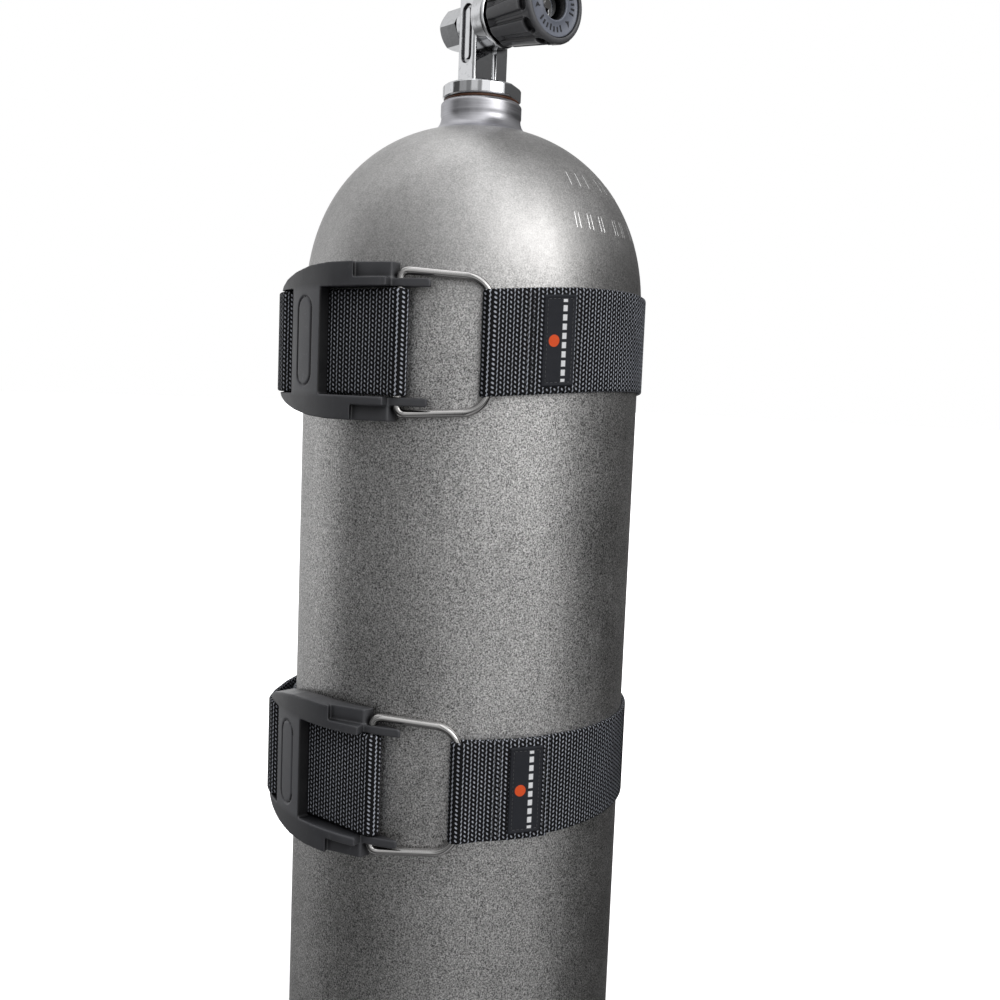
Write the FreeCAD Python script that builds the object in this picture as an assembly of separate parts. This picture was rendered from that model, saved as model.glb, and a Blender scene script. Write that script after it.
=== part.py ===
import FreeCAD, Part
import math
import os

from FreeCAD import Vector

# Aluminium scuba cylinder with its valve and two 2 inch cam bands.
# Millimetres, +Z up, origin at the centre of the flat base.
# The handwheel points along +X, the valve outlet faces +Y and the yoke dimple faces -Y.
# Azimuths are measured from -Y towards +X.

# ---- driving dimensions ----
cylinder_radius = 92.1
cylinder_length = 663.0
wall_thickness = 12.7
base_thickness = 22.0
base_corner_radius = 14.0
shoulder_start_z = 551.5
shoulder_height = 98.0
shoulder_exponent = 2.19
inner_shoulder_height = 76.0
neck_radius = 22.0
neck_fillet_radius = 9.0
neck_bore_radius = 12.6

stem_axis_z = 706.0
outlet_axis_z = 727.5
valve_rear_y = -12.4
valve_front_y = 13.3
column_half_width = 6.8
valve_top_z = 741.0
knob_back_x = 17.3
knob_front_x = 54.0
knob_lobes = 10

band_width = 50.8
webbing_thickness = 2.4
wire_radius = 2.0
running_gap = 0.05
body_gap = 0.3

# One entry per cam band: name, height of its centre, azimuth of the bail leg.
cam_bands = (("upper", 529.0, 53.0), ("lower", 311.5, 48.5))

# Angles along a band, in degrees from the bail leg, positive towards the sewn loop.
loop_end_angle = 28.0
label_start_angle = 16.0
label_end_angle = 26.5
pivot_angle = -26.0
inner_layer_end_angle = 329.5
crossbar_start_angle = -50.0
crossbar_end_angle = -64.0
end_bar_angle = -72.8
buckle_middle_angle = -47.0

# Radii around the cylinder axis.
layer_one_outer = cylinder_radius + webbing_thickness
leg_axis_radius = layer_one_outer + running_gap + wire_radius
pivot_radius = 98.0
buckle_inner_radius = 95.3
buckle_outer_radius = 106.5
crossbar_inner_radius = 100.2

os.makedirs("parts", exist_ok=True)

X_AXIS = Vector(1, 0, 0)
Y_AXIS = Vector(0, 1, 0)
Z_AXIS = Vector(0, 0, 1)
ORIGIN = Vector(0, 0, 0)


def save(shape, name):
    """Write one node's STEP file."""
    shape.exportStep("parts/" + name + ".step")


# ---- small geometry helpers ----
def revolve(points, base, axis):
    """Solid of revolution from a closed outline of straight edges."""
    outline = Part.makePolygon(points + [points[0]])
    return Part.Face(outline).revolve(base, axis, 360)


def tube_x(x0, x1, outer, inner=0.0):
    """Cylinder or tube along the stem's axis."""
    solid = Part.makeCylinder(outer, x1 - x0, Vector(x0, 0, stem_axis_z), X_AXIS)
    if inner > 0:
        solid = solid.cut(Part.makeCylinder(inner, x1 - x0 + 2, Vector(x0 - 1, 0, stem_axis_z), X_AXIS))
    return solid


def cylinder_y(y0, y1, radius, x=0.0, z=outlet_axis_z):
    """Cylinder along Y."""
    return Part.makeCylinder(radius, y1 - y0, Vector(x, y0, z), Y_AXIS)


def box(x0, x1, y0, y1, z0, z1):
    """Axis-aligned block from its limits."""
    return Part.makeBox(x1 - x0, y1 - y0, z1 - z0, Vector(x0, y0, z0))


def ring(major, minor, centre, axis):
    """O-ring."""
    return Part.makeTorus(major, minor, centre, axis)


def prism_x(x0, x1, across_flats, sides, turn=0.0):
    """Regular prism along X on the stem axis."""
    corner = across_flats / 2 / math.cos(math.pi / sides)
    points = []
    for i in range(sides):
        angle = math.radians(turn) + 2 * math.pi * i / sides
        points.append(Vector(x0, corner * math.cos(angle), stem_axis_z + corner * math.sin(angle)))
    face = Part.Face(Part.makePolygon(points + [points[0]]))
    return face.extrude(Vector(x1 - x0, 0, 0))


# ---- cylinder ----
def shoulder_curve(radius, height, exponent, last_radius):
    """Rounded shoulder from the straight wall up to last_radius, as one smooth curve."""
    points = []
    steps = 9
    last_angle = math.acos((last_radius / radius) ** (exponent / 2))
    for i in range(steps + 1):
        angle = last_angle * i / steps
        r = radius * math.cos(angle) ** (2 / exponent)
        z = shoulder_start_z + height * math.sin(angle) ** (2 / exponent)
        points.append(Vector(r, 0, z))
    curve = Part.BSplineCurve()
    end_slope = points[-1] - points[-2]
    end_slope.normalize()
    curve.interpolate(Points=points, InitialTangent=Z_AXIS, FinalTangent=end_slope)
    return curve.toShape(), points[-1]


def make_cylinder():
    """Hollow cylinder with a flat base, a rounded shoulder and a straight neck."""
    corner = base_corner_radius
    flat_edge = cylinder_radius - corner
    bend = corner * math.sqrt(0.5)
    shoulder, shoulder_top = shoulder_curve(
        cylinder_radius, shoulder_height, shoulder_exponent, neck_radius)
    neck_chamfer = 1.2
    outer = [
        Part.makeLine(ORIGIN, Vector(flat_edge, 0, 0)),
        Part.Arc(Vector(flat_edge, 0, 0), Vector(flat_edge + bend, 0, corner - bend),
                 Vector(cylinder_radius, 0, corner)).toShape(),
        Part.makeLine(Vector(cylinder_radius, 0, corner), Vector(cylinder_radius, 0, shoulder_start_z)),
        shoulder,
        Part.makeLine(shoulder_top, Vector(neck_radius, 0, cylinder_length - neck_chamfer)),
        Part.makeLine(Vector(neck_radius, 0, cylinder_length - neck_chamfer),
                      Vector(neck_radius - neck_chamfer, 0, cylinder_length)),
        Part.makeLine(Vector(neck_radius - neck_chamfer, 0, cylinder_length),
                      Vector(0, 0, cylinder_length)),
        Part.makeLine(Vector(0, 0, cylinder_length), ORIGIN),
    ]
    body = Part.Face(Part.Wire(outer)).revolve(ORIGIN, Z_AXIS, 360)
    neck_edges = []
    for edge in body.Edges:
        box_ = edge.BoundBox
        at_neck = abs(box_.XMax - neck_radius) < 0.01 and abs(box_.ZMax - shoulder_top.z) < 0.01
        if at_neck and box_.ZLength < 0.01:
            neck_edges.append(edge)
    body = body.makeFillet(neck_fillet_radius, neck_edges)

    inner_radius = cylinder_radius - wall_thickness
    inner_corner = 24.0
    inner_bend = inner_corner * math.sqrt(0.5)
    inner_flat = inner_radius - inner_corner
    inner_shoulder, inner_top = shoulder_curve(
        inner_radius, inner_shoulder_height, shoulder_exponent, neck_bore_radius)
    inner = [
        Part.makeLine(Vector(0, 0, base_thickness), Vector(inner_flat, 0, base_thickness)),
        Part.Arc(Vector(inner_flat, 0, base_thickness),
                 Vector(inner_flat + inner_bend, 0, base_thickness + inner_corner - inner_bend),
                 Vector(inner_radius, 0, base_thickness + inner_corner)).toShape(),
        Part.makeLine(Vector(inner_radius, 0, base_thickness + inner_corner),
                      Vector(inner_radius, 0, shoulder_start_z)),
        inner_shoulder,
        Part.makeLine(inner_top, Vector(neck_bore_radius, 0, cylinder_length + 1)),
        Part.makeLine(Vector(neck_bore_radius, 0, cylinder_length + 1),
                      Vector(0, 0, cylinder_length + 1)),
        Part.makeLine(Vector(0, 0, cylinder_length + 1), Vector(0, 0, base_thickness)),
    ]
    cavity = Part.Face(Part.Wire(inner)).revolve(ORIGIN, Z_AXIS, 360)
    return body.cut(cavity)


# ---- valve ----
neck_o_ring_minor = 0.75
flange_bottom_z = cylinder_length + 2 * neck_o_ring_minor
flange_top_z = 671.5
stud_bottom_z = 641.0
stud_radius = 12.55
boss_radius = 15.5
boss_front_x = 15.0
plug_boss_x = -11.0
stem_bore_radius = 7.5
seat_face_x = -1.5
outlet_bore_radius = 12.45
outlet_bore_y = 5.2
stem_radius = 3.4
stem_square = 4.7


def make_valve_body():
    """Chromed brass body: threaded stud, flange with wrench flats, column, head and side bosses."""
    stud = Part.makeCylinder(stud_radius, cylinder_length - stud_bottom_z, Vector(0, 0, stud_bottom_z))
    shoulder = Part.makeCylinder(18.6, flange_bottom_z - cylinder_length, Vector(0, 0, cylinder_length))
    flange = Part.makeCylinder(21.4, flange_top_z - flange_bottom_z, Vector(0, 0, flange_bottom_z))
    flange = flange.makeChamfer(0.8, [e for e in flange.Edges if e.BoundBox.ZLength < 0.01])
    flat_offset = 19.6
    for turn in (25.0, 205.0):
        cutter = box(flat_offset, flat_offset + 10, -30, 30, flange_bottom_z - 1, flange_top_z + 1)
        cutter.rotate(ORIGIN, Z_AXIS, turn)
        flange = flange.cut(cutter)

    rear = box(-column_half_width, column_half_width, valve_rear_y, 2.0, flange_top_z - 1, valve_top_z)
    rear = rear.makeFillet(1.4, [e for e in rear.Edges if e.BoundBox.ZLength > 20])
    front_half = 8.0
    front = box(-front_half, front_half, 0.0, valve_front_y - 1.3, flange_top_z - 1, valve_top_z - 12)
    front = front.makeFillet(3.0, [e for e in front.Edges if e.BoundBox.ZLength > 20])
    flare = revolve([Vector(0, 0, flange_top_z - 0.5), Vector(15.0, 0, flange_top_z - 0.5),
                     Vector(11.5, 0, flange_top_z + 1.8), Vector(0, 0, flange_top_z + 1.8)], ORIGIN, Z_AXIS)
    outlet_boss = cylinder_y(valve_rear_y + 8.0, valve_front_y, 15.2)
    outlet_boss = outlet_boss.makeFillet(1.5, [outlet_boss.Edges[0]])
    rear_pad = cylinder_y(valve_rear_y, 0.0, 9.5)
    knob_boss = tube_x(column_half_width - 0.8, boss_front_x, boss_radius)
    knob_boss = knob_boss.makeFillet(1.8, [e for e in knob_boss.Edges if e.BoundBox.XMin > boss_front_x - 0.01])
    plug_boss = tube_x(plug_boss_x, 0.0, 10.6)
    body = stud.fuse([shoulder, flange, flare, rear, front, outlet_boss, rear_pad, knob_boss, plug_boss])

    # Long oval recess with a raised oval ridge on the narrow rear face.
    recess_half_width = 4.0
    recess_low, recess_high = 686.5, 709.5
    recess = box(-recess_half_width, recess_half_width, valve_rear_y - 1, valve_rear_y + 1.3,
                 recess_low, recess_high)
    for z in (recess_low, recess_high):
        recess = recess.fuse(cylinder_y(valve_rear_y - 1, valve_rear_y + 1.3, recess_half_width, 0, z))
    ridge_half_width = 1.7
    ridge = box(-ridge_half_width, ridge_half_width, valve_rear_y + 0.4, valve_rear_y + 1.4,
                recess_low, recess_high)
    for z in (recess_low, recess_high):
        ridge = ridge.fuse(cylinder_y(valve_rear_y + 0.4, valve_rear_y + 1.4, ridge_half_width, 0, z))
    body = body.cut(recess.cut(ridge))

    # Yoke dimple, gas passages and the three threaded openings.
    dimple = cylinder_y(valve_rear_y - 1, valve_rear_y + 3.0, 5.2)
    gas_up = Part.makeCylinder(3.2, stem_axis_z - stud_bottom_z, Vector(3.2, 0, stud_bottom_z - 1))
    stem_bore = tube_x(seat_face_x, boss_front_x + 1, stem_bore_radius)
    seat_hole = tube_x(seat_face_x - 2.2, seat_face_x + 0.1, 2.0)
    gas_out = Part.makeCylinder(1.9, outlet_axis_z - stem_axis_z, Vector(seat_face_x - 2.0, 3.0, stem_axis_z))
    gas_link = cylinder_y(-0.5, 4.5, 1.9, seat_face_x - 2.0, stem_axis_z)
    gas_link = gas_link.fuse(cylinder_y(1.5, outlet_bore_y + 0.5, 1.9, seat_face_x - 2.0))
    outlet_bore = cylinder_y(outlet_bore_y, valve_front_y + 1, outlet_bore_radius)
    plug_bore = tube_x(plug_boss_x - 1, plug_boss_x + 4.6, 5.05)
    dip_socket = Part.makeCylinder(4.05, 9.0, Vector(3.2, 0, stud_bottom_z - 1))
    return body.cut(dimple.fuse([gas_up, stem_bore, seat_hole, gas_out, gas_link, outlet_bore,
                                 plug_bore, dip_socket]))


def make_dip_tube():
    """Short anti-debris tube below the valve."""
    outer = Part.makeCylinder(4.0, 62.0, Vector(3.2, 0, stud_bottom_z - 54))
    return outer.cut(Part.makeCylinder(2.8, 64.0, Vector(3.2, 0, stud_bottom_z - 55)))


bonnet_start_x = 9.7
bonnet_flange_x = boss_front_x + 0.2
bonnet_end_x = 20.5


def make_bonnet_nut():
    """Gland nut that holds the stem, with grooves for its two O-rings."""
    spigot = tube_x(bonnet_start_x, bonnet_flange_x, stem_bore_radius - 0.1)
    head = prism_x(bonnet_flange_x, bonnet_end_x, 22.0, 6)
    nut = spigot.fuse(head).cut(tube_x(bonnet_start_x - 1, bonnet_end_x + 1, stem_radius + running_gap))
    outer_groove = tube_x(11.6, 13.4, stem_bore_radius + 1, 5.7)
    inner_groove = tube_x(16.1, 17.9, 4.85)
    return nut.cut(outer_groove.fuse(inner_groove))


def make_upper_stem():
    """Stem with a square tang, a thrust flange, a square drive and a threaded tip."""
    stem = prism_x(3.2, 7.5, stem_square, 4, 45)
    stem = stem.fuse([tube_x(7.5, 8.7, 6.0), tube_x(8.7, 24.0, stem_radius),
                      prism_x(24.0, 42.0, stem_square, 4, 45), tube_x(42.0, 48.0, 2.3)])
    return stem.cut(tube_x(16.2, 17.8, stem_radius + 1, 3.2))


def make_seat_plug():
    """Screw plug that carries the soft seat, with a square socket for the stem."""
    plug = tube_x(-0.4, 4.6, stem_bore_radius - 0.07)
    return plug.cut(prism_x(0.6, 5.6, stem_square + 2 * running_gap, 4, 45))


grip_inner_radius = 14.65
grip_back_radius = 15.7
grip_front_radius = 20.2
face_ring_front_x = 53.0
face_ring_back_x = 51.5


def make_knob_core():
    """Hard plastic hub with a rear pocket over the gland nut and a front pocket for the nut."""
    core = tube_x(knob_back_x, face_ring_back_x, grip_inner_radius - 0.05)
    rear_pocket = tube_x(knob_back_x - 1, 24.0, 13.4)
    drive = prism_x(23.0, 39.0, stem_square + 0.1, 4, 45)
    front_pocket = tube_x(38.0, face_ring_back_x + 1, 8.4)
    return core.cut(rear_pocket.fuse([drive, front_pocket]))


def make_knob_grip():
    """Rubber overmould, wider at the front, with rounded flutes between its lobes."""
    back = knob_back_x + 0.3
    grip = revolve([Vector(back, 0, stem_axis_z + 13.0), Vector(back, 0, stem_axis_z + grip_back_radius),
                    Vector(knob_front_x - 2.0, 0, stem_axis_z + grip_front_radius),
                    Vector(knob_front_x - 0.6, 0, stem_axis_z + grip_front_radius - 0.5),
                    Vector(knob_front_x, 0, stem_axis_z + grip_front_radius - 1.6),
                    Vector(knob_front_x, 0, stem_axis_z + 13.0)],
                   Vector(0, 0, stem_axis_z), X_AXIS)
    flute_radius = 3.0
    flute_depth = 1.2
    first_flute_turn = 10.0
    slope = math.atan2(grip_front_radius - grip_back_radius, knob_front_x - 2.0 - back)
    direction = Vector(math.cos(slope), 0, math.sin(slope))
    start = Vector(back - 1, 0, stem_axis_z + grip_back_radius + flute_radius - flute_depth)
    for i in range(knob_lobes):
        flute = Part.makeCylinder(flute_radius, 32.0, start, direction)
        flute.rotate(Vector(0, 0, stem_axis_z), X_AXIS, first_flute_turn + 360.0 * i / knob_lobes)
        grip = grip.cut(flute)
    grip = grip.cut(tube_x(back - 1, knob_front_x + 1, grip_inner_radius))
    return grip.cut(tube_x(face_ring_back_x, knob_front_x + 1, 17.3))


def make_knob_spring():
    """Two opposed disc springs between hub and nut."""
    inner, outer, thickness, cone = 3.6, 7.6, 0.7, 1.2
    back = 38.05
    discs = []
    for start, lean in ((back, cone), (back + cone + thickness + 0.05 + cone, -cone)):
        discs.append(revolve([Vector(start, 0, stem_axis_z + inner),
                              Vector(start + thickness, 0, stem_axis_z + inner),
                              Vector(start + lean + thickness, 0, stem_axis_z + outer),
                              Vector(start + lean, 0, stem_axis_z + outer)],
                             Vector(0, 0, stem_axis_z), X_AXIS))
    return Part.makeCompound(discs)


def make_knob_nut():
    """Round slotted retaining nut on the stem tip."""
    nut = tube_x(42.3, 47.5, 6.9, 2.35)
    nut = nut.makeChamfer(0.7, [e for e in nut.Edges if e.BoundBox.XMin > 47.4 and e.BoundBox.ZLength > 10])
    slot = box(46.0, 49.0, -0.9, 0.9, stem_axis_z - 10, stem_axis_z + 10)
    return nut.cut(slot)


def make_side_plug():
    """Hexagonal blanking plug opposite the handwheel, with a domed end and a threaded spigot."""
    head_back_x = plug_boss_x - 1.0
    head_end_x = -26.5
    head = prism_x(head_end_x, head_back_x, 19.6, 6)
    dome = revolve([Vector(head_end_x, 0, stem_axis_z), Vector(head_end_x, 0, stem_axis_z + 8.6),
                    Vector(head_end_x + 2.6, 0, stem_axis_z + 11.4), Vector(head_back_x, 0, stem_axis_z + 11.4),
                    Vector(head_back_x, 0, stem_axis_z)], Vector(0, 0, stem_axis_z), X_AXIS)
    spigot = tube_x(head_back_x, plug_boss_x + 4.2, 5.0)
    return head.common(dome).fuse(spigot)


def make_yoke_insert():
    """Screw-in outlet insert with a hexagonal key hole and a groove for the face O-ring."""
    insert = cylinder_y(outlet_bore_y + 2.5, valve_front_y, outlet_bore_radius - 0.05)
    key = Part.makeCylinder(3.9, 20.0, Vector(0, 3.0, outlet_axis_z), Y_AXIS)
    groove = cylinder_y(valve_front_y - 1.5, valve_front_y + 1, 9.3)
    groove = groove.cut(cylinder_y(valve_front_y - 2.0, valve_front_y + 2, 6.5))
    return insert.cut(key.fuse(groove))


valve_nodes = {
    "cylinder": make_cylinder,
    "neck_o_ring": lambda: ring(19.8, neck_o_ring_minor,
                                Vector(0, 0, cylinder_length + neck_o_ring_minor), Z_AXIS),
    "valve_body": make_valve_body,
    "dip_tube": make_dip_tube,
    "bonnet_nut": make_bonnet_nut,
    "bonnet_o_ring": lambda: ring(6.6, 0.88, Vector(12.5, 0, stem_axis_z), X_AXIS),
    "thrust_washer": lambda: tube_x(9.0, 9.7, 6.6, 3.5),
    "upper_stem": make_upper_stem,
    "stem_o_ring": lambda: ring(4.0, 0.78, Vector(17.0, 0, stem_axis_z), X_AXIS),
    "seat_plug": make_seat_plug,
    "seat_disc": lambda: tube_x(-1.2, -0.4, 4.2),
    "knob_core": make_knob_core,
    "knob_grip": make_knob_grip,
    "knob_face_ring": lambda: tube_x(face_ring_back_x, face_ring_front_x, 17.2, 8.6),
    "knob_spring": make_knob_spring,
    "knob_nut": make_knob_nut,
    "side_plug": make_side_plug,
    "side_plug_o_ring": lambda: ring(6.2, 0.5, Vector(plug_boss_x - 0.5, 0, stem_axis_z), X_AXIS),
    "yoke_insert": make_yoke_insert,
    "insert_o_ring": lambda: ring(10.9, 1.25, Vector(0, outlet_bore_y + 1.25, outlet_axis_z), Y_AXIS),
    "outlet_o_ring": lambda: ring(7.9, 1.2, Vector(0, valve_front_y - 0.3, outlet_axis_z), Y_AXIS),
}


# ---- cam bands ----
# Each band is drawn with its bail leg on the +X axis and its centre at z = 0, then turned and lifted.
def polar(radius, angle, z=0.0):
    """Point at a radius and an angle in degrees from +X."""
    a = math.radians(angle)
    return Vector(radius * math.cos(a), radius * math.sin(a), z)


def sector(inner, outer, start, end, z0, z1):
    """Part of a ring between two radii and two angles."""
    middle = (start + end) / 2
    edges = [
        Part.Arc(polar(outer, start, z0), polar(outer, middle, z0), polar(outer, end, z0)).toShape(),
        Part.makeLine(polar(outer, end, z0), polar(inner, end, z0)),
        Part.Arc(polar(inner, end, z0), polar(inner, middle, z0), polar(inner, start, z0)).toShape(),
        Part.makeLine(polar(inner, start, z0), polar(outer, start, z0)),
    ]
    return Part.Face(Part.Wire(edges)).extrude(Vector(0, 0, z1 - z0))


def slab(points, z0, z1):
    """Straight-sided prism from an outline at z0."""
    flat = [Vector(p.x, p.y, z0) for p in points]
    return Part.Face(Part.makePolygon(flat + [flat[0]])).extrude(Vector(0, 0, z1 - z0))


half_band = band_width / 2
loop_inner_radius = wire_radius + running_gap
loop_outer_radius = loop_inner_radius + webbing_thickness
leg_axis = polar(leg_axis_radius, 0)
pivot = polar(pivot_radius, pivot_angle)


def half_loop(axis_radius, angle, from_turn, to_turn):
    """Webbing bent around a bar, between two directions in degrees."""
    centre = polar(axis_radius, angle)
    middle = (from_turn + to_turn) / 2

    def at(radius, turn):
        return centre + polar(radius, turn, -half_band)

    edges = [
        Part.Arc(at(loop_outer_radius, from_turn), at(loop_outer_radius, middle),
                 at(loop_outer_radius, to_turn)).toShape(),
        Part.makeLine(at(loop_outer_radius, to_turn), at(loop_inner_radius, to_turn)),
        Part.Arc(at(loop_inner_radius, to_turn), at(loop_inner_radius, middle),
                 at(loop_inner_radius, from_turn)).toShape(),
        Part.makeLine(at(loop_inner_radius, from_turn), at(loop_outer_radius, from_turn)),
    ]
    return Part.Face(Part.Wire(edges)).extrude(Vector(0, 0, band_width))


def make_band():
    """Webbing once around the cylinder, folded around the bail leg and sewn back on itself."""
    first = cylinder_radius
    second = layer_one_outer
    third = layer_one_outer + webbing_thickness
    top = leg_axis_radius + loop_inner_radius
    ring_layer = sector(first, second, 0, inner_layer_end_angle / 2, -half_band, half_band)
    ring_rest = sector(first, second, inner_layer_end_angle / 2, inner_layer_end_angle,
                       -half_band, half_band)
    fold = half_loop(leg_axis_radius, 0, 180, 360)
    landing_angle = 7.0
    ramp = slab([polar(top, 0), polar(top + webbing_thickness, 0), polar(third, landing_angle),
                 polar(second - 0.1, landing_angle)], -half_band, half_band)
    sewn = sector(second, third, landing_angle, loop_end_angle, -half_band, half_band)
    band = ring_layer.fuse([ring_rest, fold, ramp, sewn])
    wire_hole = Part.makeCylinder(loop_inner_radius, band_width + 2,
                                  Vector(leg_axis_radius, 0, -half_band - 1))
    # The hole flares a little at both edges, where the wire starts to bend.
    flare_depth = 2.0
    flare_radius = loop_inner_radius + 0.25
    for z in (-half_band - 1, half_band - flare_depth):
        wire_hole = wire_hole.fuse(Part.makeCylinder(flare_radius, flare_depth + 1, Vector(leg_axis_radius, 0, z)))
    return band.cut(wire_hole).removeSplitter()


def make_label():
    """Woven patch sewn on the outside of the folded end."""
    base = layer_one_outer + webbing_thickness
    return sector(base, base + 0.9, label_start_angle, label_end_angle, -21.5, 21.5)


def make_loop_patch():
    """Hook-and-loop strip on the band under the strap tail."""
    return sector(layer_one_outer, layer_one_outer + 0.9, 215, 252, -23.0, 23.0)


bail_half_height = 34.0
bail_corner_radius = 10.0
bail_end_radius = 3.6
bail_end_depth = 6.8


def make_bail():
    """Stainless wire U: one leg in the sewn loop, both ends turned into the buckle."""
    leg = polar(leg_axis_radius, 0)
    along = pivot - leg
    length = along.Length
    along.normalize()

    def at(distance, z):
        return leg + along * distance + Vector(0, 0, z)

    r = bail_corner_radius
    bend = r * (1 - math.sqrt(0.5))
    end_r = bail_end_radius
    end_bend = end_r * (1 - math.sqrt(0.5))
    h = bail_half_height
    tip = h - bail_end_depth
    edges = [
        Part.makeLine(at(length, -tip), at(length, -h + end_r)),
        Part.Arc(at(length, -h + end_r), at(length - end_bend, -h + end_bend),
                 at(length - end_r, -h)).toShape(),
        Part.makeLine(at(length - end_r, -h), at(r, -h)),
        Part.Arc(at(r, -h), at(bend, -h + bend), at(0, -h + r)).toShape(),
        Part.makeLine(at(0, -h + r), at(0, h - r)),
        Part.Arc(at(0, h - r), at(bend, h - bend), at(r, h)).toShape(),
        Part.makeLine(at(r, h), at(length - end_r, h)),
        Part.Arc(at(length - end_r, h), at(length - end_bend, h - end_bend),
                 at(length, h - end_r)).toShape(),
        Part.makeLine(at(length, h - end_r), at(length, tip)),
    ]
    path = Part.Wire(edges)
    profile = Part.Wire([Part.makeCircle(wire_radius, at(length, -tip), Z_AXIS)])
    return path.makePipeShell([profile], True, False)


window_half_height = 26.0
tab_half_height = 30.2
ear_half_height = 37.8
cam_bar_radius = 1.95


def radial_prism(points):
    """Prism cut straight through the buckle along its middle radius, from (tangential, z) points."""
    corners = [Vector(0, y, z) for y, z in points]
    prism = Part.Face(Part.makePolygon(corners + [corners[0]])).extrude(Vector(150, 0, 0))
    prism.rotate(ORIGIN, Z_AXIS, buckle_middle_angle)
    return prism


def along_buckle(angle, radius=102.0):
    """Tangential coordinate of an angle, seen along the buckle's middle radius."""
    return radius * math.sin(math.radians(angle - buckle_middle_angle))


def buckle_outline():
    """Outline of the buckle seen from outside: tabs, stepped ears and a rounded tapering end."""
    tab_tip = along_buckle(-17.5)
    ear_end = along_buckle(pivot_angle) - 3.6
    left = along_buckle(end_bar_angle - 3.4)
    upper = [(left, 25.8), (left + 3, 28.4), (left + 10, 31.4), (left + 22, 34.4), (left + 36, 36.8),
             (left + 50, ear_half_height), (ear_end, ear_half_height), (ear_end, tab_half_height),
             (tab_tip - 1, tab_half_height), (tab_tip, tab_half_height - 1)]
    lower = [(y, -z) for y, z in reversed(upper)]
    return upper + lower


def make_buckle():
    """Moulded cam buckle: two cheeks joined by a wide crossbar and a rounded end bar."""
    shell = sector(buckle_inner_radius, buckle_outer_radius, -78, -15, -40, 40)
    block = shell.common(radial_prism(buckle_outline()))

    # Tabs beyond the ears are thinner than the cheeks and rounded at the tip.
    tab_outer = pivot_radius + 2.6
    ear_end_angle = pivot_angle - 2.1
    block = block.cut(sector(tab_outer, buckle_outer_radius + 1, ear_end_angle, -10, -45, 45))
    tip_relief = slab([polar(buckle_inner_radius - 2, -22.5), polar(buckle_inner_radius - 2, -14.0),
                       polar(pivot_radius + 2.0, -16.0), polar(buckle_inner_radius, -22.5)], -45, 45)
    block = block.cut(tip_relief)
    # Space between the cheeks: open under the crossbar, with a window on either side of it.
    h = window_half_height
    under = sector(buckle_inner_radius - 1, crossbar_inner_radius, -80, -10, -h, h)
    window = sector(buckle_inner_radius - 1, buckle_outer_radius + 1, crossbar_start_angle, -10, -h, h)
    slot = sector(buckle_inner_radius - 1, buckle_outer_radius + 1, end_bar_angle - 10,
                  crossbar_end_angle, -h, h)
    block = block.cut(under.fuse([window, slot]))
    end_bar_centre = polar(102.4, end_bar_angle)
    end_bar = Part.makeCylinder(2.5, 2 * h + 2, Vector(end_bar_centre.x, end_bar_centre.y, -h - 1))
    block = block.fuse(end_bar)

    # Pockets in which the bail arms swing, and holes for the bail ends and the cam bar.
    pocket_radius = 23.0
    pocket_floor = polar(pivot_radius + 3.0, pivot_angle)
    for side in (1, -1):
        low = tab_half_height + 0.2 if side > 0 else -45
        pocket = Part.makeCylinder(pocket_radius, 45 - tab_half_height - 0.2, Vector(pivot.x, pivot.y, low))
        keep = Part.makeBox(40, 120, 100, Vector(0, -60, -50))
        keep.rotate(ORIGIN, Z_AXIS, pivot_angle)
        keep.translate(pocket_floor)
        block = block.cut(pocket.common(keep))
        hole_low = window_half_height - 1 if side > 0 else -45
        hole = Part.makeCylinder(wire_radius + running_gap, 46 - window_half_height,
                                 Vector(pivot.x, pivot.y, hole_low))
        block = block.cut(hole)

    # Oval thumb pad outlined by a groove on the crossbar.
    pad_middle = (crossbar_start_angle + crossbar_end_angle) / 2
    groove = oval_prism(pad_middle, 6.6, 22.0).cut(oval_prism(pad_middle, 5.8, 21.2))
    floor = sector(buckle_outer_radius - 0.7, buckle_outer_radius + 2, -70, -40, -40, 40)
    return block.cut(groove.common(floor))


def oval_prism(angle, half_width, half_height):
    """Radial prism with a long oval section."""
    centre = along_buckle(angle, buckle_outer_radius)
    straight = half_height - half_width
    left = centre - half_width
    right = centre + half_width
    edges = [
        Part.makeLine(Vector(0, right, -straight), Vector(0, right, straight)),
        Part.Arc(Vector(0, right, straight), Vector(0, centre, half_height),
                 Vector(0, left, straight)).toShape(),
        Part.makeLine(Vector(0, left, straight), Vector(0, left, -straight)),
        Part.Arc(Vector(0, left, -straight), Vector(0, centre, -half_height),
                 Vector(0, right, -straight)).toShape(),
    ]
    prism = Part.Face(Part.Wire(edges)).extrude(Vector(150, 0, 0))
    prism.rotate(ORIGIN, Z_AXIS, buckle_middle_angle)
    return prism


def make_cam_bar():
    """Steel roller bar between the cheeks, on the pivot line."""
    length = 2 * window_half_height
    return Part.makeCylinder(cam_bar_radius, length, Vector(pivot.x, pivot.y, -length / 2))


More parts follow.
